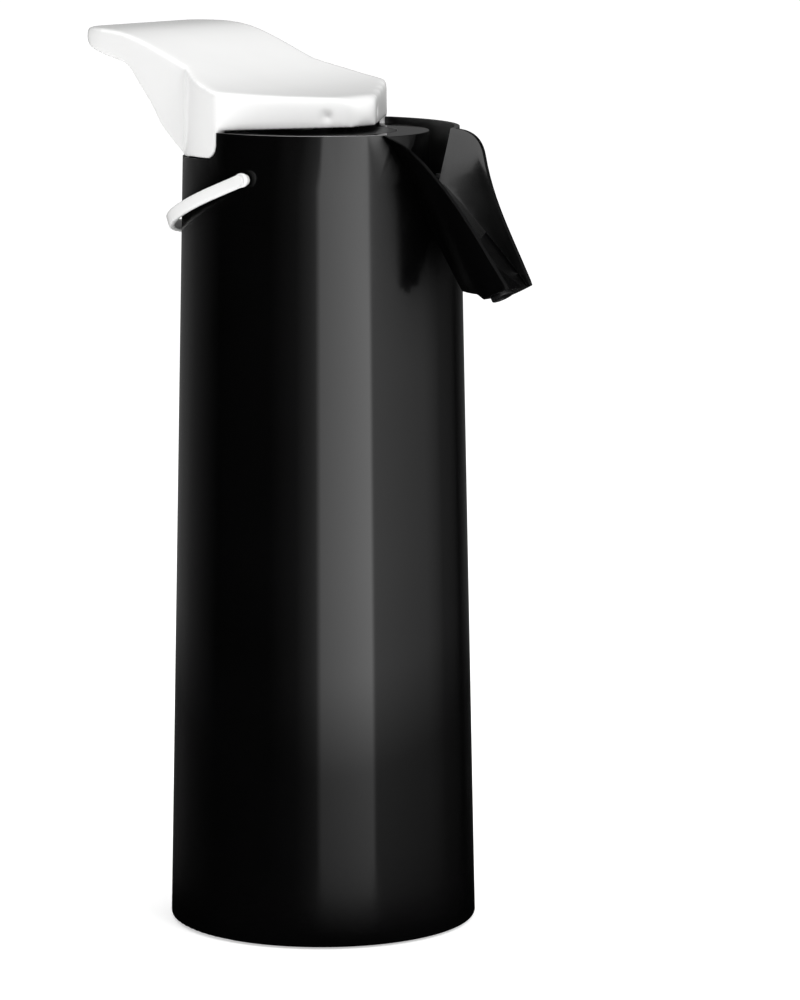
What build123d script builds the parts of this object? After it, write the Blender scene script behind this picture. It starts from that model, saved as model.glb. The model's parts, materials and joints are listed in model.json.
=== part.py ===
from build123d import *
from math import acos, atan2, cos, radians, sin, sqrt, tan
import os

# Pump vacuum jug: a tall tapered shell with a trough beak at the front (+X), a press lever
# with a raised tail at the rear (-X) and a bail on two side studs.
# Frame: +Z up, origin at the centre of the base on the surface that the jug stands on.

# Outer shell
jug_height = 370.0
base_radius = 71.3
top_radius = 63.4
shell_wall = 2.4
shell_lift = 0.8
base_edge_radius = 1.8
boss_radius = 3.6
boss_wall_distance = 5.2
boss_rib = 2.4
collar_boss_height = 16.0
base_boss_height = 12.0
screw_start_angle = 45.0
screw_head_ratio = 1.9
screw_head_height = 1.2
screw_slot = 0.5

# Beak, seen from the side and from above
beak_slope = 56.0
beak_reach = 48.7
beak_tip_drop = 64.4
beak_brow_radius = 26.0
beak_hidden_depth = 5.4
beak_hidden_half_width = 52.0
beak_root_reach = 3.6
beak_root_half_width = 34.0
beak_shoulder_reach = 10.6
beak_shoulder_half_width = 26.2
beak_waist_reach = 17.6
beak_waist_half_width = 20.4
beak_neck_reach = 33.6
beak_neck_half_width = 13.4
beak_tip_half_width = 10.2
beak_end_overrun = 7.9
beak_end_half_width = 9.2
beak_flank_bulge = 3.0
beak_keel_depth = 28.0
beak_keel_half_width = 4.5
beak_underside_drop = 5.8
beak_chin_setback = 15.1
beak_chin_drop = 2.0
beak_chin_length = 4.0
beak_lip_x = 1.1
beak_lip_drop = 2.2
trough_floor_tip_depth = 3.0
trough_floor_root_drop = 24.0
trough_floor_root_gap = 2.0
trough_wall = 2.2

# Rear notch in the rim
notch_front_x = -10.3
notch_depth_front = 12.2
notch_depth_rear = 14.6
notch_corner_radius = 7.0

# Collar: the pot that stands inside the rim and holds the pump head
collar_room = 11.5
collar_wall = 2.4
collar_drop = 2.0
collar_floor_drop = 50.0
collar_floor_thickness = 3.0
collar_flange_thickness = 3.0
collar_ring_width = 14.7
collar_top_thickness = 2.4
collar_screw_count = 4
collar_screw_radius = 1.5
collar_screw_length = 13.0

# Pump head
head_clearance = 0.3
head_wall = 2.0
head_floor_thickness = 2.6
head_disc_thickness = 2.6
pump_inset = 15.5
pump_wall = 1.5
pump_wall_overlap = 1.0
piston_thickness = 6.0
piston_height = 18.0
piston_groove_depth = 2.0
piston_seal_height = 1.8
seal_groove_gap = 0.1
air_port_radius = 2.5
air_flap_margin = 2.0
air_flap_thickness = 0.8
plug_gap = 1.8
plug_wall = 2.2
plug_length = 6.0
plug_seal_radius = 0.85
plug_seal_drop = 4.0
plunger_radius = 8.0
plunger_dome_radius = 10.0
lever_contact_gap = 0.8
spring_wire = 1.2
spring_inset = 7.0
spring_turns = 6
spring_seat_gap = 0.1

# Lever
lever_pin_inset = 16.5
lever_pin_rise = 6.0
lever_pin_radius = 1.5
lever_pin_setback = 1.0
lever_nose_radius = 8.5
lever_nose_plan_radius = 20.0
lever_wall = 2.4
lever_plate_rise = 0.8
lever_seat_gap = 0.4
lever_tail_overhang = 49.8
lever_tail_rise = 43.5
lever_tail_height = 8.3
lever_tail_lean = 3.6
lever_crest_run = 33.2
lever_crest_drop = 2.0
lever_knee_run = 35.2
lever_knee_drop = 16.2
lever_knee_round = 7.0
lever_throat_run = 12.5
lever_throat_drop = 1.5
lever_throat_round = 20.0
lever_heel_round = 1.5
lever_hollow_round = 6.0
lever_saddle_run = 14.5
lever_saddle_drop = 21.0
lever_tail_half_width = 47.0
lever_tail_corner = 22.0
lever_ear_thickness = 2.5
lever_ear_radius = 3.6
lever_ear_foot = 7.0
lever_ear_lean = 1.6
lever_ear_root = 0.5
lever_ear_half_width = 5.0

# Bail
bail_pivot_x = 8.0
bail_pivot_drop = 20.0
bail_side_gap = 1.5
bail_leg = 15.6
bail_band_height = 6.0
bail_band_thickness = 3.0
bail_hang_angle = 21.0
bail_eye_radius = 3.4
stud_radius = 1.5
stud_head_radius = 2.4
stud_head_thickness = 0.8
stud_flange_thickness = 1.6
washer_gap = 0.1

# Liner and its supports
liner_room = 6.2
liner_wall = 1.6
liner_gap = 3.2
liner_bottom_z = 16.0
liner_bottom_round = 18.0
liner_shoulder_height = 34.0
liner_shoulder_round = 16.0
liner_neck_radius = 30.0
liner_neck_length = 15.0
liner_neck_round = 6.0
neck_seal_thickness = 3.0
neck_seal_inner_lip = 0.5
neck_seal_outer_lip = 1.0
cushion_width = 15.0
cushion_boss_gap = 1.0
shoulder_pad_height = 10.0
shoulder_pad_drop = 12.0

# Base
base_cover_z = 3.0
base_cover_thickness = 3.0
foot_inset = 9.3
foot_width = 7.0
foot_chamfer = 0.5
base_screw_count = 3
base_screw_inset = 15.3
base_screw_radius = 1.7
base_screw_length = 9.0
screw_recess = 1.4
screw_bottom_gap = 0.5

# Outlet
riser_gap = 3.3
tube_radius = 3.2
tube_bore = 2.2
tube_end_gap = 6.0
outlet_drop = 35.5
outlet_bend_reach = 2.6
outlet_bend_radius = 9.0
outlet_end_run = 3.0
duct_roof = 1.8
duct_end_gap = 1.0
outlet_root_bend_radius = 4.6
nozzle_radius = 5.2
nozzle_bore = 3.7
nozzle_setback = 7.9
nozzle_drop = 7.7
nozzle_angle = 60.0
nozzle_length = 8.5
nozzle_edge_round = 0.5
grommet_radius = 6.4
grommet_lip = 1.1

# Clearances between mating pieces
fit_gap = 0.2
free_gap = 0.4
running_gap = 0.05

# How far a cutting form runs past the face that it cuts
rim_allowance = 6.0
cut_overrun = 5.0
hole_overrun = 4.0
lever_overrun = 30.0

# Derived sizes of the shell and the base
taper = (base_radius - top_radius) / jug_height
inner_top_radius = top_radius - shell_wall
collar_screw_circle = inner_top_radius - boss_wall_distance
base_screw_circle = base_radius - base_screw_inset
foot_radius = base_radius - foot_inset

# Derived sizes of the beak and the trough
beak_tip_x = top_radius + beak_reach
beak_tip_z = jug_height - beak_tip_drop
beak_underside_z = beak_tip_z - beak_underside_drop
beak_chin_x = beak_tip_x - beak_chin_setback
beak_corner_x = beak_tip_x - beak_tip_drop / tan(radians(beak_slope))
beak_start_x = top_radius / 2
trough_floor_root_z = jug_height - trough_floor_root_drop
floor_start_x = inner_top_radius + trough_floor_root_gap

# Derived sizes of the collar and the pump head
collar_radius = inner_top_radius - collar_room
collar_mouth_radius = collar_radius - collar_ring_width
collar_floor_z = jug_height - collar_floor_drop
collar_top_z = jug_height - collar_drop
ledge_z = trough_floor_root_z - collar_flange_thickness
head_radius = collar_mouth_radius - head_clearance
head_floor_z = collar_floor_z + collar_floor_thickness
pump_radius = head_radius - pump_inset
pump_x = pump_radius + pump_wall - pump_wall_overlap - head_radius + head_wall
spring_radius = pump_radius - spring_inset

# Derived places of the outlet
riser_x = pump_x + pump_radius + pump_wall + riser_gap + tube_radius
outlet_z = jug_height - outlet_drop
outlet_bend_x = top_radius + outlet_bend_reach
nozzle_x = beak_tip_x - nozzle_setback
nozzle_z = beak_tip_z - nozzle_drop

# Derived places of the lever and the bail
lever_pin_x = head_radius - lever_pin_inset
lever_pin_z = jug_height + lever_pin_rise
lever_plate_z = jug_height + lever_plate_rise
lever_seat_z = jug_height - notch_depth_rear
lever_tail_top_z = jug_height + lever_tail_rise
lever_tail_bottom_z = lever_tail_top_z - lever_tail_height
lever_tail_x = -top_radius - lever_tail_overhang
lever_tail_bottom_x = lever_tail_x + lever_tail_lean
lever_crest_x = lever_tail_x + lever_crest_run
lever_crest_z = lever_tail_top_z - lever_crest_drop
lever_knee_x = lever_tail_x + lever_knee_run
lever_knee_z = lever_tail_top_z - lever_knee_drop
lever_heel_x = -sqrt(top_radius**2 - lever_tail_half_width**2)
lever_throat_x = lever_heel_x - lever_throat_run
lever_throat_z = jug_height - lever_throat_drop
lever_saddle_x = lever_heel_x + lever_saddle_run
lever_saddle_z = lever_tail_top_z - lever_saddle_drop
bail_pivot_z = jug_height - bail_pivot_drop

# Derived heights of the liner
liner_lip_z = collar_floor_z - neck_seal_thickness
liner_neck_z = liner_lip_z - liner_neck_length
liner_shoulder_z = liner_neck_z - liner_shoulder_height


def shell_radius(height):
    """Outer radius of the tapered shell at a height."""
    return base_radius - taper * height


liner_radius = shell_radius(liner_shoulder_z) - shell_wall - liner_room
bail_half_width = shell_radius(bail_pivot_z - bail_eye_radius) + bail_side_gap


def notch_z(x):
    """Height of the notch's floor at a place behind its front edge."""
    run = (notch_front_x - x) / (notch_front_x + base_radius + cut_overrun)
    return jug_height - notch_depth_front - run * (notch_depth_rear - notch_depth_front)


def ring(outer, inner, bottom, top):
    """A plain ring about the jug's axis."""
    with BuildPart() as piece:
        with BuildSketch(Plane.XY.offset(bottom)):
            Circle(outer)
            Circle(inner, mode=Mode.SUBTRACT)
        extrude(amount=top - bottom)
    return piece.part


def add_screws(count, circle, radius, seat_z, length, up):
    """Identical pan head screws on a circle; up is the side that the heads face."""
    head = screw_head_ratio * radius
    outward = Align.MIN if up > 0 else Align.MAX
    inward = Align.MAX if up > 0 else Align.MIN
    with PolarLocations(circle, count, start_angle=screw_start_angle):
        with Locations((0, 0, seat_z)):
            Cylinder(head, screw_head_height, align=(Align.CENTER, Align.CENTER, outward))
            Cylinder(radius, length, align=(Align.CENTER, Align.CENTER, inward))
    with PolarLocations(circle, count, start_angle=screw_start_angle):
        with Locations((0, 0, seat_z + up * screw_head_height)):
            Box(head, screw_slot, screw_head_height, mode=Mode.SUBTRACT)
            Box(screw_slot, head, screw_head_height, mode=Mode.SUBTRACT)


def save(name, builder):
    builder.part.label = name
    export_step(builder.part, f"parts/{name}.step")


os.makedirs("parts", exist_ok=True)


def rim_plane_z(x):
    """Height of the beak's sloped rim plane."""
    return beak_tip_z + (beak_tip_x - x) * tan(radians(beak_slope))


def beak_section(x, half_width, inset):
    """Section of the beak across its slope: a rounded keel below, open flanks that widen to the rim plane."""
    slope = radians(beak_slope)
    width = half_width - inset
    keel = beak_keel_half_width - inset / 2
    depth = beak_keel_depth - inset
    bilge = depth - 0.6 * keel
    middle = (width + keel) / 2 + beak_flank_bulge
    across = Plane(origin=(x, 0, rim_plane_z(x)), x_dir=(0, 1, 0), z_dir=(cos(slope), 0, -sin(slope)))
    with BuildSketch(across) as section:
        with BuildLine():
            Polyline((width, 0), (width, rim_allowance), (-width, rim_allowance), (-width, 0))
            ThreePointArc((-width, 0), (-middle, -bilge / 2), (-keel, -bilge))
            ThreePointArc((-keel, -bilge), (0, -depth), (keel, -bilge))
            ThreePointArc((keel, -bilge), (middle, -bilge / 2), (width, 0))
        make_face()
    return section.sketch


def beak_channel(inset):
    """The beak's form down its slope, inset by a wall, from inside the jug to past the tip."""
    sections = [
        beak_section(top_radius - beak_hidden_depth, beak_hidden_half_width, inset),
        beak_section(top_radius + beak_root_reach, beak_root_half_width, inset),
        beak_section(top_radius + beak_shoulder_reach, beak_shoulder_half_width, inset),
        beak_section(top_radius + beak_waist_reach, beak_waist_half_width, inset),
        beak_section(top_radius + beak_neck_reach, beak_neck_half_width, inset),
        beak_section(beak_tip_x, beak_tip_half_width, inset),
        beak_section(beak_tip_x + beak_end_overrun, beak_end_half_width, inset),
    ]
    with BuildPart() as channel:
        loft(sections=sections)
    return channel.part


# Beak: the channel cut by its side view
with BuildPart() as beak:
    with BuildSketch(Plane.XZ):
        with BuildLine():
            FilletPolyline(
                (beak_start_x, jug_height),
                (beak_corner_x, jug_height),
                (beak_tip_x, beak_tip_z),
                radius=beak_brow_radius,
            )
            Polyline(
                (beak_tip_x, beak_tip_z),
                (beak_tip_x + beak_lip_x, beak_tip_z - beak_lip_drop),
                (beak_chin_x + beak_chin_length, beak_underside_z - beak_chin_drop),
                (beak_chin_x, beak_underside_z),
                (beak_start_x, beak_underside_z),
                (beak_start_x, jug_height),
            )
        make_face()
    extrude(amount=base_radius, both=True)
    add(beak_channel(0), mode=Mode.INTERSECT)

# Space of the trough, open at the top and at the tip
trough_back_x = collar_radius - collar_wall - fit_gap
trough_front_x = beak_tip_x + rim_allowance
with BuildPart() as trough:
    with BuildSketch(Plane.XZ):
        with BuildLine():
            Polyline(
                (trough_back_x, jug_height + rim_allowance),
                (trough_front_x, jug_height + rim_allowance),
                (trough_front_x, beak_tip_z - trough_floor_tip_depth - rim_allowance / 2),
                (beak_tip_x, beak_tip_z - trough_floor_tip_depth),
                (floor_start_x, trough_floor_root_z),
                (trough_back_x, trough_floor_root_z),
                (trough_back_x, jug_height + rim_allowance),
            )
        make_face()
    extrude(amount=base_radius, both=True)
    add(beak_channel(trough_wall), mode=Mode.INTERSECT)

# Path of the outlet: up from the dip tube, across, and down to the nozzle
nozzle_turn = radians(nozzle_angle)
nozzle_back_x = nozzle_x - nozzle_length * cos(nozzle_turn)
nozzle_back_z = nozzle_z + nozzle_length * sin(nozzle_turn)
nozzle_plane = Plane(origin=(nozzle_x, 0, nozzle_z), z_dir=(-cos(nozzle_turn), 0, sin(nozzle_turn)))
with BuildLine(Plane.XZ) as outlet_path:
    FilletPolyline(
        (riser_x, head_floor_z + head_floor_thickness),
        (riser_x, outlet_z),
        (outlet_bend_x, outlet_z),
        (
            nozzle_back_x - outlet_end_run * cos(nozzle_turn),
            nozzle_back_z + outlet_end_run * sin(nozzle_turn),
        ),
        (nozzle_back_x, nozzle_back_z),
        radius=[outlet_root_bend_radius, outlet_bend_radius, outlet_bend_radius],
    )

# Hollow of the beak under the trough's floor, where the outlet runs
duct_back_x = inner_top_radius - trough_wall
duct_front_x = nozzle_back_x + duct_end_gap
duct_floor_z = beak_underside_z + trough_wall
duct_roof_z = trough_floor_root_z - duct_roof
floor_slope = (trough_floor_root_z - beak_tip_z + trough_floor_tip_depth) / (beak_tip_x - floor_start_x)
with BuildPart() as duct:
    with BuildSketch(Plane.XZ):
        with BuildLine():
            Polyline(
                (duct_back_x, duct_floor_z),
                (duct_front_x - nozzle_radius, duct_floor_z),
                (duct_front_x, nozzle_back_z),
                (duct_front_x, duct_roof_z - floor_slope * (duct_front_x - floor_start_x)),
                (floor_start_x, duct_roof_z),
                (duct_back_x, duct_roof_z),
                (duct_back_x, duct_floor_z),
            )
        make_face()
    extrude(amount=base_radius, both=True)
    add(beak_channel(trough_wall), mode=Mode.INTERSECT)

# Outer shell
with BuildPart() as outer_shell:
    with BuildSketch(Plane.XZ):
        with BuildLine():
            FilletPolyline(
                (0, shell_lift),
                (-shell_radius(shell_lift), shell_lift),
                (-top_radius, jug_height),
                radius=base_edge_radius,
            )
            Polyline((-top_radius, jug_height), (0, jug_height), (0, shell_lift))
        make_face()
    revolve(axis=Axis.Z)
    add(beak.part)
    add(trough.part, mode=Mode.SUBTRACT)
    with BuildSketch(Plane.XZ):
        with BuildLine():
            Polyline(
                (0, -cut_overrun),
                (shell_wall - shell_radius(-cut_overrun), -cut_overrun),
                (shell_wall - shell_radius(jug_height + cut_overrun), jug_height + cut_overrun),
                (0, jug_height + cut_overrun),
                (0, -cut_overrun),
            )
        make_face()
    revolve(axis=Axis.Z, mode=Mode.SUBTRACT)
    # the rear of the rim is cut lower, for the lever
    with BuildSketch(Plane.XZ):
        with BuildLine():
            FilletPolyline(
                (notch_front_x, jug_height + cut_overrun),
                (notch_front_x, jug_height - notch_depth_front),
                (-base_radius - cut_overrun, jug_height - notch_depth_rear),
                radius=notch_corner_radius,
            )
            Polyline(
                (-base_radius - cut_overrun, jug_height - notch_depth_rear),
                (-base_radius - cut_overrun, jug_height + cut_overrun),
                (notch_front_x, jug_height + cut_overrun),
            )
        make_face()
    extrude(amount=base_radius, both=True, mode=Mode.SUBTRACT)
    # bosses for the collar's screws, tied to the wall
    collar_rib_length = boss_wall_distance + boss_rib
    with PolarLocations(collar_screw_circle, collar_screw_count, start_angle=screw_start_angle):
        with Locations((0, 0, ledge_z)):
            Cylinder(boss_radius, collar_boss_height, align=(Align.CENTER, Align.CENTER, Align.MAX))
            Box(collar_rib_length, boss_rib, collar_boss_height, align=(Align.MIN, Align.CENTER, Align.MAX))
    with PolarLocations(collar_screw_circle, collar_screw_count, start_angle=screw_start_angle):
        with Locations((0, 0, ledge_z)):
            Cylinder(
                collar_screw_radius + running_gap,
                collar_screw_length - collar_flange_thickness + 2 * screw_bottom_gap,
                align=(Align.CENTER, Align.CENTER, Align.MAX),
                mode=Mode.SUBTRACT,
            )
    # bosses for the base screws
    base_boss_z = base_cover_z + base_cover_thickness
    base_rib_length = base_radius - shell_wall - base_screw_circle + shell_wall / 3
    with PolarLocations(base_screw_circle, base_screw_count, start_angle=screw_start_angle):
        with Locations((0, 0, base_boss_z)):
            Cylinder(boss_radius, base_boss_height, align=(Align.CENTER, Align.CENTER, Align.MIN))
            Box(base_rib_length, boss_rib, base_boss_height, align=(Align.MIN, Align.CENTER, Align.MIN))
    with PolarLocations(base_screw_circle, base_screw_count, start_angle=screw_start_angle):
        with Locations((0, 0, base_boss_z)):
            Cylinder(
                base_screw_radius + running_gap,
                base_screw_length - base_cover_thickness + screw_recess + 2 * screw_bottom_gap,
                align=(Align.CENTER, Align.CENTER, Align.MIN),
                mode=Mode.SUBTRACT,
            )
    add(duct.part, mode=Mode.SUBTRACT)
    # seat of the nozzle, through the end of the beak, and a narrower bore for the pipe behind it
    with BuildSketch(nozzle_plane, mode=Mode.PRIVATE) as pipe_bore:
        Circle(tube_radius + free_gap)
    with BuildSketch(nozzle_plane.offset(-nozzle_radius)):
        Circle(nozzle_radius + running_gap)
    extrude(amount=nozzle_radius + nozzle_length, mode=Mode.SUBTRACT)
    extrude(pipe_bore.sketch, amount=nozzle_length + outlet_end_run + hole_overrun, mode=Mode.SUBTRACT)
    # hole for the outlet pipe through the jug's wall
    with BuildSketch(Plane.YZ.offset(duct_back_x), mode=Mode.PRIVATE) as wall_bore:
        with Locations((0, outlet_z)):
            Circle(tube_radius + free_gap)
    extrude(wall_bore.sketch, amount=outlet_bend_x - duct_back_x, mode=Mode.SUBTRACT)
    # holes for the bail's studs
    with BuildSketch(Plane.XZ):
        with Locations((bail_pivot_x, bail_pivot_z)):
            Circle(stud_radius + running_gap)
    extrude(amount=base_radius, both=True, mode=Mode.SUBTRACT)
save("outer_shell", outer_shell)

# Base cover, screwed up against the shell's base bosses
cover_radius = shell_radius(base_cover_z) - shell_wall - fit_gap
with BuildPart() as base_cover:
    with BuildSketch(Plane.XY.offset(base_cover_z)):
        Circle(cover_radius)
    extrude(amount=base_cover_thickness)
    with PolarLocations(base_screw_circle, base_screw_count, start_angle=screw_start_angle):
        with Locations((0, 0, base_cover_z)):
            Cylinder(
                base_screw_radius + running_gap,
                base_cover_thickness * 3,
                mode=Mode.SUBTRACT,
            )
            Cylinder(screw_head_ratio * base_screw_radius + fit_gap, screw_recess * 2, mode=Mode.SUBTRACT)
save("base_cover", base_cover)

with BuildPart() as base_screws:
    add_screws(
        base_screw_count,
        base_screw_circle,
        base_screw_radius,
        base_cover_z + screw_recess,
        base_screw_length,
        -1,
    )
save("base_screws", base_screws)

# Foot ring, stuck under the cover: the jug stands on it
with BuildPart() as foot_ring:
    add(ring(foot_radius + foot_width / 2, foot_radius - foot_width / 2, 0, base_cover_z))
    chamfer(foot_ring.edges().group_by(Axis.Z)[0], foot_chamfer)
save("foot_ring", foot_ring)

# Soft cup under the liner
cushion_bottom_z = base_cover_z + base_cover_thickness
cushion_radius = base_screw_circle - boss_radius - cushion_boss_gap
with BuildPart() as liner_cushion:
    with BuildSketch(Plane.XY.offset(cushion_bottom_z)):
        Circle(cushion_radius)
        Circle(cushion_radius - cushion_width, mode=Mode.SUBTRACT)
    extrude(amount=liner_bottom_z - cushion_bottom_z)
save("liner_cushion", liner_cushion)


def liner_profile(inset, bottom, top):
    """Half section of a bottle form, inset from the liner's outer face, closed on the axis."""
    radius = liner_radius - inset
    neck = liner_neck_radius - inset
    with BuildSketch(Plane.XZ) as section:
        with BuildLine():
            FilletPolyline(
                (0, bottom),
                (radius, bottom),
                (radius, liner_shoulder_z - inset / 2),
                (neck, liner_neck_z - inset / 2),
                (neck, top),
                radius=[liner_bottom_round - inset, liner_shoulder_round, liner_neck_round],
            )
            Polyline((neck, top), (0, top), (0, bottom))
        make_face()
    return section.sketch


# Vacuum liner: one glass bottle with a sealed gap between its two walls
with BuildPart() as vacuum_liner:
    revolve(liner_profile(0, liner_bottom_z, liner_lip_z), axis=Axis.Z)
    revolve(
        liner_profile(liner_wall, liner_bottom_z + liner_wall, liner_lip_z - liner_wall),
        axis=Axis.Z,
        mode=Mode.SUBTRACT,
    )
    revolve(
        liner_profile(liner_wall + liner_gap, liner_bottom_z + liner_wall + liner_gap, liner_lip_z),
        axis=Axis.Z,
    )
    revolve(
        liner_profile(liner_wall * 2 + liner_gap, liner_bottom_z + liner_wall * 2 + liner_gap, liner_lip_z),
        axis=Axis.Z,
        mode=Mode.SUBTRACT,
    )
save("vacuum_liner", vacuum_liner)

# Soft ring that centres the liner's shoulder in the shell
shoulder_pad_z = liner_shoulder_z - shoulder_pad_height - shoulder_pad_drop
with BuildPart() as shoulder_pad:
    add(
        ring(
            shell_radius(shoulder_pad_z + shoulder_pad_height) - shell_wall - fit_gap,
            liner_radius + fit_gap,
            shoulder_pad_z,
            shoulder_pad_z + shoulder_pad_height,
        )
    )
save("shoulder_pad", shoulder_pad)

# Soft ring between the liner's lip and the collar's floor
neck_bore = liner_neck_radius - liner_wall * 2 - liner_gap
seal_bore = neck_bore - neck_seal_inner_lip
with BuildPart() as neck_seal:
    add(ring(liner_neck_radius + neck_seal_outer_lip, seal_bore, liner_lip_z, collar_floor_z))
save("neck_seal", neck_seal)

# Collar: pot with a floor, a flange that seats on the shell's bosses, and a rolled-in top ring
flange_radius = shell_radius(trough_floor_root_z) - shell_wall - fit_gap
with BuildPart() as collar:
    add(ring(collar_radius, collar_radius - collar_wall, collar_floor_z, collar_top_z))
    add(ring(collar_radius, seal_bore, collar_floor_z, head_floor_z))
    add(ring(collar_radius, collar_mouth_radius, collar_top_z - collar_top_thickness, collar_top_z))
    add(ring(flange_radius, collar_radius - collar_wall / 2, ledge_z, ledge_z + collar_flange_thickness))
    with PolarLocations(collar_screw_circle, collar_screw_count, start_angle=screw_start_angle):
        with Locations((0, 0, ledge_z)):
            Cylinder(collar_screw_radius + running_gap, collar_flange_thickness * 3, mode=Mode.SUBTRACT)
    with BuildSketch(Plane.YZ.offset(collar_radius - collar_wall - hole_overrun)):
        with Locations((0, outlet_z)):
            Circle(grommet_radius)
    extrude(amount=collar_wall + 2 * hole_overrun, mode=Mode.SUBTRACT)
save("collar", collar)

with BuildPart() as collar_screws:
    add_screws(
        collar_screw_count,
        collar_screw_circle,
        collar_screw_radius,
        ledge_z + collar_flange_thickness,
        collar_screw_length,
        1,
    )
save("collar_screws", collar_screws)

# Grommet round the outlet in the collar's wall
with BuildPart() as outlet_grommet:
    with BuildSketch(Plane.YZ.offset(collar_radius - collar_wall - grommet_lip)):
        with Locations((0, outlet_z)):
            Circle(grommet_radius - running_gap)
            Circle(tube_radius + running_gap, mode=Mode.SUBTRACT)
    extrude(amount=collar_wall + 2 * grommet_lip)
save("outlet_grommet", outlet_grommet)

# Pump head: a cup that stands in the collar, with the tubes and the pump in it
head_cup_top = collar_top_z - head_disc_thickness
with BuildPart() as head_cup:
    add(ring(head_radius, head_radius - head_wall, head_floor_z, head_cup_top))
    with BuildSketch(Plane.XY.offset(head_floor_z)):
        Circle(head_radius)
    extrude(amount=head_floor_thickness)
    # plug that reaches down into the liner's neck
    add(ring(neck_bore - plug_gap, neck_bore - plug_gap - plug_wall, liner_lip_z - plug_length, head_floor_z))
    # ring wall that holds the pump
    with BuildSketch(Plane.XY.offset(head_floor_z)):
        with Locations((pump_x, 0)):
            Circle(pump_radius + pump_wall)
            Circle(pump_radius, mode=Mode.SUBTRACT)
    extrude(amount=head_cup_top - head_floor_z)
    with Locations((riser_x, 0, head_floor_z + head_floor_thickness / 2)):
        Cylinder(tube_radius + running_gap, head_floor_thickness * 3, mode=Mode.SUBTRACT)
    with BuildSketch(Plane.YZ.offset(head_radius - head_wall - hole_overrun)):
        with Locations((0, outlet_z)):
            Circle(tube_radius + free_gap)
    extrude(amount=head_wall + 2 * hole_overrun, mode=Mode.SUBTRACT)
    # air port into the liner, under the pump
    with Locations((pump_x, 0, head_floor_z)):
        Cylinder(air_port_radius, head_floor_thickness * 3, mode=Mode.SUBTRACT)
save("head_cup", head_cup)

# Flap that closes the air port from below
with BuildPart() as air_flap:
    with BuildSketch(Plane.XY.offset(head_floor_z - air_flap_thickness)):
        with Locations((pump_x, 0)):
            Circle(air_port_radius + air_flap_margin)
    extrude(amount=air_flap_thickness)
save("air_flap", air_flap)

# Round seal on the plug
with BuildPart() as plug_seal:
    with BuildSketch(Plane.XZ):
        with Locations((neck_bore - plug_seal_radius - running_gap, liner_lip_z - plug_seal_drop)):
            Circle(plug_seal_radius)
    revolve(axis=Axis.Z)
save("plug_seal", plug_seal)

# Disc on the cup, with the hole for the plunger and two ears for the lever's pin
with BuildPart() as head_disc:
    with BuildSketch(Plane.XY.offset(head_cup_top)):
        Circle(head_radius)
    extrude(amount=head_disc_thickness)
    with BuildSketch(Plane.XZ):
        with Locations((lever_pin_x, lever_pin_z)):
            Circle(lever_ear_radius)
        ear_side = lever_ear_radius / sqrt(2)
        Polygon(
            (lever_pin_x - lever_ear_foot - lever_ear_lean, collar_top_z - lever_ear_root),
            (lever_pin_x - lever_ear_lean, collar_top_z - lever_ear_root),
            (lever_pin_x + ear_side, lever_pin_z - ear_side),
            (lever_pin_x - ear_side, lever_pin_z + ear_side),
            align=None,
        )
    extrude(amount=lever_ear_half_width, both=True)
    with Locations((lever_pin_x, 0, lever_pin_z + lever_ear_root)):
        Box(
            lever_ear_foot * 3,
            (lever_ear_half_width - lever_ear_thickness) * 2,
            (lever_pin_z - collar_top_z + lever_ear_root) * 2,
            mode=Mode.SUBTRACT,
        )
    with Locations((pump_x, 0, head_cup_top)):
        Cylinder(plunger_radius + free_gap, head_disc_thickness * 3, mode=Mode.SUBTRACT)
    with BuildSketch(Plane.XZ.offset(-base_radius)):
        with Locations((lever_pin_x, lever_pin_z)):
            Circle(lever_pin_radius + running_gap)
    extrude(amount=base_radius * 2, mode=Mode.SUBTRACT)
save("head_disc", head_disc)

# Piston, its seal and the plunger on it; the lever presses the plunger's dome
plunger_top_z = lever_plate_z - lever_contact_gap
piston_bottom_z = head_floor_z + head_floor_thickness + piston_height
seal_bottom_z = piston_bottom_z + (piston_thickness - piston_seal_height) / 2
with BuildPart() as piston:
    with BuildSketch(Plane.XY.offset(piston_bottom_z)):
        with Locations((pump_x, 0)):
            Circle(pump_radius - free_gap)
    extrude(amount=piston_thickness)
    with BuildSketch(Plane.XY.offset(seal_bottom_z - seal_groove_gap)):
        with Locations((pump_x, 0)):
            Circle(pump_radius)
            Circle(pump_radius - piston_groove_depth, mode=Mode.SUBTRACT)
    extrude(amount=piston_seal_height + 2 * seal_groove_gap, mode=Mode.SUBTRACT)
save("piston", piston)

with BuildPart() as piston_seal:
    with BuildSketch(Plane.XY.offset(seal_bottom_z)):
        with Locations((pump_x, 0)):
            Circle(pump_radius - running_gap)
            Circle(pump_radius - piston_groove_depth + seal_groove_gap, mode=Mode.SUBTRACT)
    extrude(amount=piston_seal_height)
save("piston_seal", piston_seal)

with BuildPart() as plunger:
    with BuildSketch(Plane.XZ):
        with BuildLine():
            dome_drop = plunger_dome_radius - sqrt(plunger_dome_radius**2 - plunger_radius**2)
            Polyline(
                (pump_x, piston_bottom_z + piston_thickness),
                (pump_x + plunger_radius, piston_bottom_z + piston_thickness),
                (pump_x + plunger_radius, plunger_top_z - dome_drop),
            )
            RadiusArc(
                (pump_x + plunger_radius, plunger_top_z - dome_drop),
                (pump_x, plunger_top_z),
                -plunger_dome_radius,
            )
            Line((pump_x, plunger_top_z), (pump_x, piston_bottom_z + piston_thickness))
        make_face()
    revolve(axis=Axis((pump_x, 0, 0), (0, 0, 1)))
save("plunger", plunger)

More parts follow.
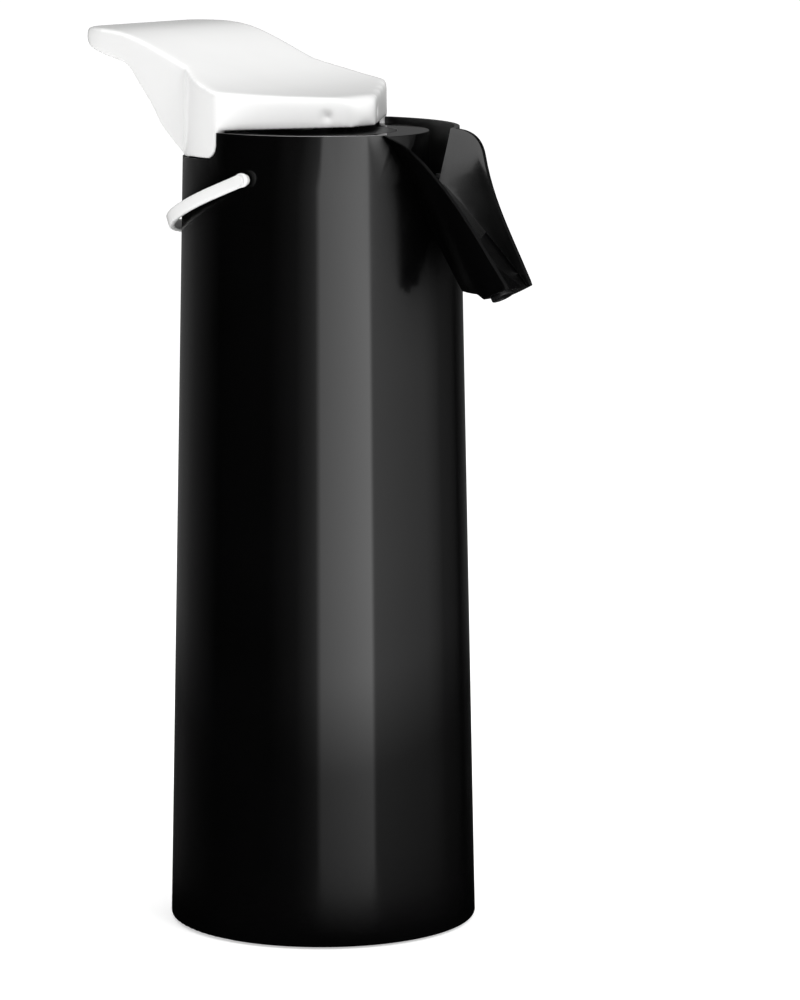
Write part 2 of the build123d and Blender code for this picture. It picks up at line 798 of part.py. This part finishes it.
# Return spring under the piston
spring_bottom = head_floor_z + head_floor_thickness + spring_wire / 2 + spring_seat_gap
spring_length = piston_bottom_z - spring_wire / 2 - spring_seat_gap - spring_bottom
with BuildPart() as return_spring:
    with BuildLine():
        coil = Helix(
            pitch=spring_length / spring_turns,
            height=spring_length,
            radius=spring_radius,
            center=(pump_x, 0, spring_bottom),
        )
    with BuildSketch(Plane(origin=coil @ 0, z_dir=coil % 0)):
        Circle(spring_wire / 2)
    sweep(path=coil)
save("return_spring", return_spring)

# Dip tube, outlet pipe and nozzle
tube_end_z = liner_bottom_z + liner_wall * 2 + liner_gap + tube_end_gap
riser_joint_z = head_floor_z + head_floor_thickness
with BuildPart() as dip_tube:
    with BuildSketch(Plane.XY.offset(tube_end_z)):
        with Locations((riser_x, 0)):
            Circle(tube_radius)
            Circle(tube_bore, mode=Mode.SUBTRACT)
    extrude(amount=riser_joint_z - tube_end_z)
save("dip_tube", dip_tube)

with BuildPart() as outlet_pipe:
    with BuildSketch(Plane.XY.offset(riser_joint_z)):
        with Locations((riser_x, 0)):
            Circle(tube_radius)
            Circle(tube_bore, mode=Mode.SUBTRACT)
    sweep(path=outlet_path.line)
save("outlet_pipe", outlet_pipe)

with BuildPart() as nozzle:
    with BuildSketch(nozzle_plane):
        Circle(nozzle_radius)
        Circle(nozzle_bore, mode=Mode.SUBTRACT)
    extrude(amount=nozzle_length)
    fillet(nozzle.edges().sort_by(Axis.Z)[0:2], nozzle_edge_round)
save("nozzle", nozzle)


def lever_side(inset):
    """Side view of the lever, inset by its wall; the inset one is open below."""
    nose = lever_nose_radius - inset
    nose_low_x = lever_pin_x + sqrt(nose**2 - (lever_pin_z - lever_plate_z) ** 2)
    seat_front_x = notch_front_x - lever_seat_gap
    with BuildSketch(Plane.XZ) as side:
        with BuildLine():
            ThreePointArc(
                (nose_low_x, lever_plate_z),
                (lever_pin_x + nose, lever_pin_z),
                (lever_pin_x, lever_pin_z + nose),
            )
            Spline(
                (lever_pin_x, lever_pin_z + nose),
                (lever_saddle_x, lever_saddle_z - inset),
                (lever_crest_x, lever_crest_z - inset),
                (lever_tail_bottom_x + inset, lever_tail_top_z - inset),
                tangents=((-1, 0.06), (-1, 0.02)),
            )
            ThreePointArc(
                (lever_tail_bottom_x + inset, lever_tail_top_z - inset),
                (lever_tail_x + inset, (lever_tail_top_z + lever_tail_bottom_z) / 2),
                (lever_tail_bottom_x + inset, lever_tail_bottom_z + inset),
            )
            if inset:
                FilletPolyline(
                    (lever_tail_bottom_x + inset, lever_tail_bottom_z + inset),
                    (lever_knee_x + inset, lever_knee_z + inset),
                    (lever_throat_x + inset, lever_throat_z + inset),
                    (lever_heel_x + inset, lever_seat_z),
                    radius=lever_hollow_round,
                )
                Polyline(
                    (lever_heel_x + inset, lever_seat_z),
                    (lever_heel_x + inset, lever_seat_z - lever_overrun / 2),
                    (nose_low_x, lever_seat_z - lever_overrun / 2),
                    (nose_low_x, lever_plate_z),
                )
            else:
                FilletPolyline(
                    (lever_tail_bottom_x, lever_tail_bottom_z),
                    (lever_knee_x, lever_knee_z),
                    (lever_throat_x, lever_throat_z),
                    (lever_heel_x, notch_z(lever_heel_x) + lever_seat_gap),
                    (seat_front_x, notch_z(seat_front_x) + lever_seat_gap),
                    (seat_front_x, lever_plate_z),
                    radius=[lever_knee_round, lever_throat_round, lever_heel_round, notch_corner_radius],
                )
                Line((seat_front_x, lever_plate_z), (nose_low_x, lever_plate_z))
        make_face()
    return side.sketch


def lever_plan(inset):
    """Plan of the lever, inset by its wall: nose, flanks to the notch, the rim's circle, and the tail."""
    radius = top_radius - inset
    nose = lever_nose_plan_radius - inset
    nose_x = lever_pin_x + lever_nose_radius - lever_nose_plan_radius
    corner_x = notch_front_x - lever_seat_gap - inset
    corner_y = sqrt(radius**2 - corner_x**2)
    tail_y = lever_tail_half_width - inset
    rim_x = -sqrt(radius**2 - tail_y**2)
    reach = sqrt((corner_x - nose_x) ** 2 + corner_y**2)
    lean = atan2(corner_y, corner_x - nose_x) - acos(nose / reach)
    tail_x = lever_tail_x + inset
    corner = lever_tail_corner - inset
    with BuildSketch(Plane.XY.offset(lever_seat_z - lever_overrun)) as plan:
        with BuildLine():
            ThreePointArc(
                (nose_x + nose, 0),
                (nose_x + nose * cos(lean / 2), nose * sin(lean / 2)),
                (nose_x + nose * cos(lean), nose * sin(lean)),
            )
            Line((nose_x + nose * cos(lean), nose * sin(lean)), (corner_x, corner_y))
            RadiusArc((corner_x, corner_y), (rim_x, tail_y), -radius)
            FilletPolyline((rim_x, tail_y), (tail_x, tail_y), (tail_x, 0), radius=corner)
            Line((tail_x, 0), (nose_x + nose, 0))
        make_face()
        mirror(about=Plane.XZ)
    return plan.sketch


# Lever: a hollow cap with a nose over the head disc and a raised tail behind
lever_plan_height = lever_tail_top_z - lever_seat_z + 2 * lever_overrun
with BuildPart() as lever_core:
    extrude(lever_side(lever_wall), amount=base_radius, both=True)
    extrude(lever_plan(lever_wall), amount=lever_plan_height, mode=Mode.INTERSECT)

with BuildPart() as lever:
    extrude(lever_side(0), amount=base_radius, both=True)
    extrude(lever_plan(0), amount=lever_plan_height, mode=Mode.INTERSECT)
    add(lever_core.part, mode=Mode.SUBTRACT)
    # room for the collar's rim inside the skirt
    with BuildSketch(Plane.XY.offset(lever_seat_z - cut_overrun)):
        Circle(collar_radius + lever_wall)
    extrude(amount=lever_plate_z - lever_seat_z + cut_overrun, mode=Mode.SUBTRACT)
    with BuildSketch(Plane.XZ.offset(-base_radius)):
        with Locations((lever_pin_x, lever_pin_z)):
            Circle(lever_pin_radius + running_gap)
    extrude(amount=base_radius * 2, mode=Mode.SUBTRACT)
save("lever", lever)

# Pin of the lever, through the ears and both walls of the nose
nose_centre_x = lever_pin_x + lever_nose_radius - lever_nose_plan_radius
pin_half_length = sqrt(lever_nose_plan_radius**2 - (lever_pin_x - nose_centre_x) ** 2) - lever_pin_setback
with BuildPart() as lever_pin:
    with BuildSketch(Plane.XZ.offset(-pin_half_length)):
        with Locations((lever_pin_x, lever_pin_z)):
            Circle(lever_pin_radius)
    extrude(amount=pin_half_length * 2)
save("lever_pin", lever_pin)

# Bail: a flat hoop with round eyes, in a plane that hangs down behind the jug
hang = radians(bail_hang_angle)
bail_hole_reach = bail_half_width + bail_band_thickness + hole_overrun
bail_plane = Plane(
    origin=(bail_pivot_x, 0, bail_pivot_z),
    x_dir=(-cos(hang), 0, -sin(hang)),
    z_dir=(-sin(hang), 0, cos(hang)),
)
with BuildPart() as bail:
    with BuildSketch(bail_plane):
        with Locations((bail_leg, 0)):
            Circle(bail_half_width + bail_band_thickness)
        with Locations((bail_leg / 2, 0)):
            Rectangle(bail_leg, (bail_half_width + bail_band_thickness) * 2)
            Rectangle(bail_leg, bail_half_width * 2, mode=Mode.SUBTRACT)
        with Locations((bail_leg, 0)):
            Circle(bail_half_width, mode=Mode.SUBTRACT)
        with Locations((-base_radius, 0)):
            Rectangle(base_radius * 2, base_radius * 4, mode=Mode.SUBTRACT)
    extrude(amount=bail_band_height / 2, both=True)
    for side in (-1, 1):
        inner_y = side * bail_half_width
        with BuildSketch(Plane.XZ.offset(-inner_y)):
            with Locations((bail_pivot_x, bail_pivot_z)):
                Circle(bail_eye_radius)
        extrude(amount=-side * bail_band_thickness)
    with BuildSketch(Plane.XZ.offset(-bail_hole_reach)):
        with Locations((bail_pivot_x, bail_pivot_z)):
            Circle(stud_radius + running_gap)
    extrude(amount=bail_hole_reach * 2, mode=Mode.SUBTRACT)
save("bail", bail)

# Studs of the bail, with a head outside and a flange inside the shell
stud_edge_x = bail_pivot_x + stud_head_radius
stud_root_y = sqrt((shell_radius(bail_pivot_z) - shell_wall) ** 2 - stud_edge_x**2) - fit_gap
stud_face_y = bail_half_width + bail_band_thickness + fit_gap
with BuildPart() as bail_studs:
    for side in (-1, 1):
        with BuildSketch(Plane.XZ.offset(-side * (stud_root_y - stud_flange_thickness))):
            with Locations((bail_pivot_x, bail_pivot_z)):
                Circle(stud_head_radius)
        extrude(amount=-side * stud_flange_thickness)
        with BuildSketch(Plane.XZ.offset(-side * stud_root_y)):
            with Locations((bail_pivot_x, bail_pivot_z)):
                Circle(stud_radius)
        extrude(amount=-side * (stud_face_y - stud_root_y))
        with BuildSketch(Plane.XZ.offset(-side * stud_face_y)):
            with Locations((bail_pivot_x, bail_pivot_z)):
                Circle(stud_head_radius)
        extrude(amount=-side * stud_head_thickness)
save("bail_studs", bail_studs)

# Washers between the shell and the bail's eyes
washer_face_y = shell_radius(bail_pivot_z - bail_eye_radius) + washer_gap
with BuildPart() as bail_washers:
    for side in (-1, 1):
        with BuildSketch(Plane.XZ.offset(-side * washer_face_y)):
            with Locations((bail_pivot_x, bail_pivot_z)):
                Circle(stud_head_radius)
                Circle(stud_radius + running_gap, mode=Mode.SUBTRACT)
        extrude(amount=-side * (bail_half_width - washer_gap - washer_face_y))
save("bail_washers", bail_washers)
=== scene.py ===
import json
import math

import bpy
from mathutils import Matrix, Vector


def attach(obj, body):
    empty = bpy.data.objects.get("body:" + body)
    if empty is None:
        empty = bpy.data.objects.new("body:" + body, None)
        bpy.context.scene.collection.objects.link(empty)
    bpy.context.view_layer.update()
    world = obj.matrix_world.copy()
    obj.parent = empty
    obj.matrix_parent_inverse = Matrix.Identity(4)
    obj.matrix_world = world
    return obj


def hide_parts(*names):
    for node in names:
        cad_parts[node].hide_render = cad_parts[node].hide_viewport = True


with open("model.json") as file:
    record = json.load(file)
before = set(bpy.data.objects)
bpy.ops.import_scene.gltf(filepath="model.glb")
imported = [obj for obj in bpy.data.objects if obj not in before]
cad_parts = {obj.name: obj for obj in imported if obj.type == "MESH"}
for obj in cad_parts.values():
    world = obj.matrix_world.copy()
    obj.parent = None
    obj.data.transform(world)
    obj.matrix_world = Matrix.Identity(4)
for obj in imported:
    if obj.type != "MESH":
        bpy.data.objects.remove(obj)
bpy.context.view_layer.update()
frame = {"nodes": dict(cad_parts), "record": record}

# Lengths are in metres, angles in degrees and lamps in watts


# Camera

# Fitted to the photograph; the lens and the sensor are in millimetres
BEAK_TURN = 38.0
CAMERA_DISTANCE = 2.180
CAMERA_HEIGHT = 0.540
CAMERA_PITCH = 8.96
CAMERA_SIDE = 0.036
CAMERA_REACH = 50
LENS = 171.25
SENSOR = 36.0

# Directions in the row's frame, as seen from above
BEAK_RADIANS = math.radians(BEAK_TURN)
TO_CAMERA = Vector((math.sin(BEAK_RADIANS), -math.cos(BEAK_RADIANS), 0))
TO_RIGHT = Vector((math.cos(BEAK_RADIANS), math.sin(BEAK_RADIANS), 0))
UP = Vector((0, 0, 1))


def make_camera():
    """A camera where the photograph was taken from."""
    data = bpy.data.cameras.new("photo_camera")
    data.sensor_fit = "VERTICAL"
    data.sensor_height = SENSOR
    data.lens = LENS
    data.clip_end = CAMERA_REACH
    camera = bpy.data.objects.new("photo_camera", data)
    bpy.context.scene.collection.objects.link(camera)
    camera.location = TO_CAMERA * CAMERA_DISTANCE + TO_RIGHT * CAMERA_SIDE + UP * CAMERA_HEIGHT
    pitch = math.radians(CAMERA_PITCH)
    look = -TO_CAMERA * math.cos(pitch) - UP * math.sin(pitch)
    camera.rotation_euler = look.to_track_quat("-Z", "Y").to_euler()
    bpy.context.scene.camera = camera


# Materials


class Nodes:
    """Short calls for the nodes of one material or world."""

    def __init__(self, tree):
        self.tree = tree
        tree.nodes.clear()

    def add(self, kind, **settings):
        node = self.tree.nodes.new(kind)
        for name, value in settings.items():
            setattr(node, name, value)
        return node

    def link(self, source, target):
        self.tree.links.new(source, target)

    def value(self, socket, value):
        """Sets a socket to a number, or links it to another node's output."""
        if isinstance(value, bpy.types.NodeSocket):
            self.link(value, socket)
        else:
            socket.default_value = value

    def math(self, operation, first, second):
        node = self.add("ShaderNodeMath", operation=operation)
        self.value(node.inputs[0], first)
        self.value(node.inputs[1], second)
        return node.outputs[0]

    def noise(self, scale, detail, place):
        node = self.add("ShaderNodeTexNoise")
        node.inputs["Scale"].default_value = scale
        node.inputs["Detail"].default_value = detail
        self.link(place, node.inputs["Vector"])
        return node.outputs["Fac"]

    def split(self, vector):
        """The X, Y and Z of a vector."""
        node = self.add("ShaderNodeSeparateXYZ")
        self.link(vector, node.inputs[0])
        return node.outputs

    def faces_outward(self):
        """1 where a face looks away from the jug's middle plane, 0 where it looks towards it."""
        geometry = self.add("ShaderNodeNewGeometry")
        sides = [self.split(geometry.outputs[name])["Y"] for name in ("Normal", "Position")]
        return self.math("GREATER_THAN", self.math("MULTIPLY", *sides), 0.0)

    def ramp(self, factor, stops):
        """Blends between stops, each a place from 0 to 1 with a colour or a grey level."""
        node = self.add("ShaderNodeValToRGB")
        elements = node.color_ramp.elements
        while len(elements) > 1:
            elements.remove(elements[-1])
        for index, (place, colour) in enumerate(stops):
            if not isinstance(colour, tuple):
                colour = (colour, colour, colour)
            element = elements[0] if index == 0 else elements.new(place)
            element.position = place
            element.color = (*colour, 1)
        self.link(factor, node.inputs[0])
        return node.outputs["Color"]

    def emission(self, strength):
        node = self.add("ShaderNodeEmission")
        self.value(node.inputs["Strength"], strength)
        return node

    def show(self, shader, output="ShaderNodeOutputMaterial"):
        """Ends the tree with the shader that it shows."""
        self.link(shader.outputs[0], self.add(output).inputs[0])


def new_material(name):
    """A material without nodes, and the calls that fill it."""
    material = bpy.data.materials.new(name)
    material.use_nodes = True
    return material, Nodes(material.node_tree)


def cover(piece, material):
    """Leaves one material on a piece."""
    piece.data.materials.clear()
    piece.data.materials.append(material)


# Colour, a darker shade of it, roughness, how far the roughness spreads, grain per metre,
# strength of the relief, and 1 for metal
FINISHES = {
    "gloss_black": ((0.0014, 0.0014, 0.0015), (0.0010, 0.0010, 0.0010), 0.05, 0.015, 900, 0.006, 0),
    "satin_black": ((0.010, 0.010, 0.011), (0.006, 0.006, 0.006), 0.32, 0.10, 1400, 0.10, 0),
    "gloss_white": ((0.95, 0.95, 0.945), (0.93, 0.93, 0.925), 0.16, 0.05, 700, 0.02, 0),
    "steel": ((0.62, 0.62, 0.63), (0.50, 0.50, 0.51), 0.28, 0.12, 1500, 0.08, 1),
    "rubber": ((0.025, 0.025, 0.026), (0.015, 0.015, 0.015), 0.70, 0.15, 1200, 0.25, 0),
    "clear_seal": ((0.72, 0.72, 0.69), (0.62, 0.62, 0.59), 0.45, 0.15, 900, 0.12, 0),
    "natural": ((0.78, 0.78, 0.74), (0.70, 0.70, 0.66), 0.38, 0.12, 800, 0.08, 0),
    "silvered_glass": ((0.85, 0.86, 0.88), (0.72, 0.73, 0.75), 0.08, 0.06, 60, 0.05, 1),
}

# Noise of every surface: the broad one mixes the two colours between two levels of it
BROAD_GRAIN = 18.0
BROAD_DETAIL = 4.0
BROAD_LEVELS = (0.35, 0.65)
FINE_DETAIL = 5.0
RELIEF_DEPTH = 0.0002

# Inside corners of the shell: how far they reach, and the gloss that is lost, as painted shade, and
# the roughness that is gained by how open a place is
SHELL_CORNER = 0.045
CORNER_SAMPLES = 8
FULL_GLOSS = 0.5
CORNER_PAINTED_SHADE = [(0.62, FULL_GLOSS), (0.93, 0.0)]
CORNER_HAZE = [(0.65, 0.30), (0.99, 0.0)]


def surface(name, colour, shade, roughness, spread, grain, relief, metallic, corner=0.0):
    """A moulded, drawn or cast surface: two near colours, uneven roughness and a fine relief.

    The gloss fades, as painted shade, and blurs over the length named corner, towards an inside
    corner.
    """
    material, nodes = new_material(name)
    shader = nodes.add("ShaderNodeBsdfPrincipled")
    place = nodes.add("ShaderNodeNewGeometry").outputs["Position"]
    broad = nodes.noise(BROAD_GRAIN, BROAD_DETAIL, place)
    fine = nodes.noise(grain, FINE_DETAIL, place)
    base = nodes.ramp(broad, list(zip(BROAD_LEVELS, (shade, colour))))
    rough = nodes.math("ADD", nodes.math("MULTIPLY", fine, spread), roughness - spread / 2)
    bump = nodes.add("ShaderNodeBump")
    bump.inputs["Strength"].default_value = relief
    bump.inputs["Distance"].default_value = RELIEF_DEPTH
    nodes.link(fine, bump.inputs["Height"])
    if corner:
        ambient = nodes.add("ShaderNodeAmbientOcclusion", samples=CORNER_SAMPLES)
        ambient.inputs["Distance"].default_value = corner
        openness = ambient.outputs["AO"]
        # Painted shade: the gloss is turned down towards inside corners where shade falls, on faces
        # that look away from the middle plane
        fade = nodes.math("MULTIPLY", nodes.ramp(openness, CORNER_PAINTED_SHADE), nodes.faces_outward())
        nodes.link(nodes.math("SUBTRACT", FULL_GLOSS, fade), shader.inputs["Specular IOR Level"])
        rough = nodes.math("ADD", rough, nodes.ramp(openness, CORNER_HAZE))
    nodes.link(base, shader.inputs["Base Color"])
    nodes.link(rough, shader.inputs["Roughness"])
    nodes.link(bump.outputs[0], shader.inputs["Normal"])
    shader.inputs["Metallic"].default_value = metallic
    nodes.show(shader)
    return material


def make_materials():
    """One material for each slot of the record, and one for the shell alone."""
    made = {slot: surface(slot, *finish) for slot, finish in FINISHES.items()}
    made["outer_shell"] = surface("shell_black", *FINISHES["gloss_black"], corner=SHELL_CORNER)
    return made


def dress_cad_nodes(materials):
    """Every CAD node gets the material of its slot, or its own where it has one."""
    for entry in frame["record"]["subparts"]:
        name = entry["node"]
        cover(frame["nodes"][name], materials.get(name, materials[entry["material_slot"]]))


# Edges

WELD_REACH = 0.000002

# Width of the narrow round on the hard edges of a CAD node
EASE_WIDTHS = {"outer_shell": 0.0008, "collar": 0.0003, "head_disc": 0.0003}
EASE_SEGMENTS = 3
EASE_ANGLE = 40


def weld(node):
    """Joins the faces of a CAD node along its edges, so that later modifiers see one skin."""
    joined = node.modifiers.new("weld", "WELD")
    joined.merge_threshold = WELD_REACH


def round_edges():
    """Breaks hard edges with a narrow round that catches the light."""
    for name, width in EASE_WIDTHS.items():
        node = frame["nodes"][name]
        weld(node)
        bevel = node.modifiers.new("ease", "BEVEL")
        bevel.width = width
        bevel.segments = EASE_SEGMENTS
        bevel.limit_method = "ANGLE"
        bevel.angle_limit = math.radians(EASE_ANGLE)
        bevel.use_clamp_overlap = True
        bevel.harden_normals = True


# Skins

# Size of a skin's mesh, and how many rounds of smoothing it gets
LEVER_VOXEL = 0.0009
LEVER_ROUNDS = 60
BAIL_VOXEL = 0.0007
BAIL_ROUNDS = 10
SMOOTHING = 0.5

# The lever's seat on the rim keeps this share of the smoothing, up to the height of its top,
# and the full smoothing comes in over the blend above it
SEAT_SHARE = 0.12
SEAT_TOP = 0.371
SEAT_BLEND = 0.010

# Plugs in the ends of the lever's pin hole
PIN_X = 0.018
PIN_Z = 0.376
PLUG_VERTICES = 48
PLUG_RADIUS = 0.0022
PLUG_FACE = 0.0162
PLUG_DEPTH = 0.0010


def skin(name, voxel, fillers=()):
    """A fine even mesh over a copy of a CAD node and its fillers, as a new piece."""
    source = frame["nodes"][name].copy()
    source.data = source.data.copy()
    bpy.context.scene.collection.objects.link(source)
    if fillers:
        selected = [source, *fillers]
        with bpy.context.temp_override(active_object=source, selected_editable_objects=selected):
            bpy.ops.object.join()
    weld(source)
    remesh = source.modifiers.new("skin", "REMESH")
    remesh.mode = "VOXEL"
    remesh.voxel_size = voxel
    bpy.context.view_layer.update()
    shape = source.evaluated_get(bpy.context.evaluated_depsgraph_get())
    mesh = bpy.data.meshes.new_from_object(shape)
    bpy.data.objects.remove(source)
    for face in mesh.polygons:
        face.use_smooth = True
    piece = bpy.data.objects.new(name + "_skin", mesh)
    bpy.context.scene.collection.objects.link(piece)
    return piece


def soften(piece, rounds, weight):
    """Rounds the edges of a skin; weight gives the share of the smoothing by place."""
    group = piece.vertex_groups.new(name="soft")
    for vertex in piece.data.vertices:
        group.add([vertex.index], weight(vertex.co), "REPLACE")
    smooth = piece.modifiers.new("soft", "SMOOTH")
    smooth.factor = SMOOTHING
    smooth.iterations = rounds
    smooth.vertex_group = group.name


def lever_weight(place):
    """Full smoothing on the raised parts, little at the seat on the rim."""
    share = min(1.0, max(0.0, (place.z - SEAT_TOP) / SEAT_BLEND))
    return SEAT_SHARE + (1 - SEAT_SHARE) * share * share * (3 - 2 * share)


def make_plugs():
    """Plugs that close the pin's holes in the lever's flanks."""
    plugs = []
    for side in (-1, 1):
        bpy.ops.mesh.primitive_cylinder_add(
            vertices=PLUG_VERTICES,
            radius=PLUG_RADIUS,
            depth=PLUG_DEPTH,
            location=(PIN_X, side * (PLUG_FACE - PLUG_DEPTH / 2), PIN_Z),
            rotation=(math.radians(90), 0, 0),
        )
        plugs.append(bpy.context.object)
    return plugs


def make_lever(materials):
    """The lever's skin, with its pin hole closed and its edges rounded."""
    piece = skin("lever", LEVER_VOXEL, make_plugs())
    soften(piece, LEVER_ROUNDS, lever_weight)
    cover(piece, materials["gloss_white"])
    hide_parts("lever")
    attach(piece, "lever")


def make_bail(materials):
    """The bail's skin, with its edges rounded alike all round."""
    piece = skin("bail", BAIL_VOXEL)
    soften(piece, BAIL_ROUNDS, lambda place: 1.0)
    cover(piece, materials["gloss_white"])
    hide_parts("bail")
    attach(piece, "bail")


# Studio

# Wide cylinder round the jug that carries the light cards
TENT_VERTICES = 96
TENT_RADIUS = 1.20
TENT_LOW = -0.70
TENT_HIGH = 1.60
TENT_SPAN = TENT_HIGH - TENT_LOW
TENT_PEAK = 3.2
# Brightness of the light cards round the jug, as a share of the peak: by degrees to the right
# of the camera, and by height
TENT_CARDS = [
    (-180, 0.035),
    (-134, 0.045),
    (-112, 0.025),
    (-88, 0.0),
    (-40, 0.003),
    (-19, 0.030),
    (-8, 0.10),
    (-4, 0.15),
    (0, 0.55),
    (18, 0.74),
    (38, 0.98),
    (41, 0.33),
    (65, 0.25),
    (88, 0.17),
    (108, 0.05),
    (135, 0.004),
    (180, 0.035),
]
TENT_HEIGHTS = [
    (-0.45, 0.0),
    (-0.34, 0.04),
    (-0.265, 0.115),
    (-0.184, 0.26),
    (-0.116, 0.33),
    (-0.048, 0.92),
    (0.02, 1.0),
]

# Card overhead, at the height of the cylinder's top
SKY_SIZE = 2.0
SKY_SIDE = -0.4
SKY_STRENGTH = 2.0

FLOOR_SIZE = 40
FLOOR_COLOUR = (0.93, 0.93, 0.93, 1)
FLOOR_GLOW = 0.48

# Brightness of the world to the camera and through glass, to rough surfaces, and to the gloss
WORLD_WHITE = 1.0
WORLD_FILL = 0.80
WORLD_GLOSS = 0.006

# Height that the lamps are aimed at
PANEL_AIM = 0.3


def make_world():
    """White to the camera, plain soft light to rough surfaces, near black to the gloss."""
    world = bpy.data.worlds.new("studio")
    bpy.context.scene.world = world
    world.use_nodes = True
    nodes = Nodes(world.node_tree)
    rays = nodes.add("ShaderNodeLightPath").outputs
    lift = nodes.math("ADD", rays["Is Camera Ray"], rays["Is Transmission Ray"])
    lift = nodes.math("MULTIPLY", lift, WORLD_WHITE - WORLD_FILL)
    drop = nodes.math("MULTIPLY", rays["Is Glossy Ray"], WORLD_FILL - WORLD_GLOSS)
    strength = nodes.math("SUBTRACT", nodes.math("ADD", lift, WORLD_FILL), drop)
    background = nodes.add("ShaderNodeBackground")
    nodes.link(strength, background.inputs["Strength"])
    nodes.show(background, "ShaderNodeOutputWorld")


def make_floor():
    """A white floor that keeps the contact shadow and stays out of the gloss."""
    bpy.ops.mesh.primitive_plane_add(size=FLOOR_SIZE, location=(0, 0, 0))
    floor = bpy.context.object
    floor.name = "floor"
    floor.visible_glossy = False
    material, nodes = new_material("floor_white")
    diffuse = nodes.add("ShaderNodeBsdfDiffuse")
    diffuse.inputs["Color"].default_value = FLOOR_COLOUR
    both = nodes.add("ShaderNodeAddShader")
    nodes.link(diffuse.outputs[0], both.inputs[0])
    nodes.link(nodes.emission(FLOOR_GLOW).outputs[0], both.inputs[1])
    nodes.show(both)
    cover(floor, material)


def show_only_in_gloss(card):
    """Keeps a light card out of all rays but the glossy ones."""
    for ray in ("camera", "diffuse", "transmission", "volume_scatter", "shadow"):
        setattr(card, "visible_" + ray, False)


def make_tent():
    """Light cards on a wide cylinder, seen only in the gloss of the surfaces."""
    bpy.ops.mesh.primitive_cylinder_add(
        vertices=TENT_VERTICES,
        radius=TENT_RADIUS,
        depth=TENT_SPAN,
        end_fill_type="NOTHING",
        location=(0, 0, (TENT_HIGH + TENT_LOW) / 2),
    )
    tent = bpy.context.object
    tent.name = "reflection_tent"
    show_only_in_gloss(tent)
    material, nodes = new_material("light_cards")
    # The place is turned so that the camera stands at 0 degrees, in the middle of the ramp
    turn = nodes.add("ShaderNodeVectorRotate", rotation_type="Z_AXIS")
    nodes.link(nodes.add("ShaderNodeNewGeometry").outputs["Position"], turn.inputs["Vector"])
    turn.inputs["Angle"].default_value = math.radians(90 - BEAK_TURN)
    place = nodes.split(turn.outputs[0])
    angle = nodes.math("ARCTAN2", place["Y"], place["X"])
    around = nodes.math("ADD", nodes.math("DIVIDE", angle, 2 * math.pi), 0.5)
    cards = nodes.ramp(around, [(degrees / 360 + 0.5, level) for degrees, level in TENT_CARDS])
    height = nodes.math("DIVIDE", nodes.math("SUBTRACT", place["Z"], TENT_LOW), TENT_SPAN)
    fade = nodes.ramp(height, [((z - TENT_LOW) / TENT_SPAN, level) for z, level in TENT_HEIGHTS])
    light = nodes.emission(nodes.math("MULTIPLY", fade, TENT_PEAK))
    nodes.link(cards, light.inputs["Color"])
    nodes.show(light)
    cover(tent, material)


def make_sky_card():
    """A pale card overhead, seen only in the gloss of rims, rings and the trough."""
    place = TO_RIGHT * SKY_SIDE + UP * TENT_HIGH
    bpy.ops.mesh.primitive_plane_add(size=SKY_SIZE, location=place)
    card = bpy.context.object
    card.name = "sky_card"
    show_only_in_gloss(card)
    material, nodes = new_material("sky_card")
    nodes.show(nodes.emission(SKY_STRENGTH))
    cover(card, material)


def add_panel(name, side, front, height, size, watts):
    """A soft square lamp aimed at the jug's upper half; it is kept out of the gloss."""
    data = bpy.data.lights.new(name, "AREA")
    data.size = size
    data.energy = watts
    lamp = bpy.data.objects.new(name, data)
    bpy.context.scene.collection.objects.link(lamp)
    lamp.location = TO_RIGHT * side + TO_CAMERA * front + UP * height
    aim = UP * PANEL_AIM - lamp.location
    lamp.rotation_euler = aim.to_track_quat("-Z", "Y").to_euler()
    lamp.visible_glossy = False


def make_studio():
    make_world()
    make_floor()
    make_tent()
    make_sky_card()
    add_panel("key_panel", side=1.2, front=1.2, height=1.6, size=1.2, watts=18)
    add_panel("top_panel", side=0.0, front=-0.2, height=2.0, size=1.4, watts=8)


make_camera()
materials = make_materials()
dress_cad_nodes(materials)
round_edges()
make_lever(materials)
make_bail(materials)
make_studio()

bpy.context.scene.view_settings.view_transform = "Standard"
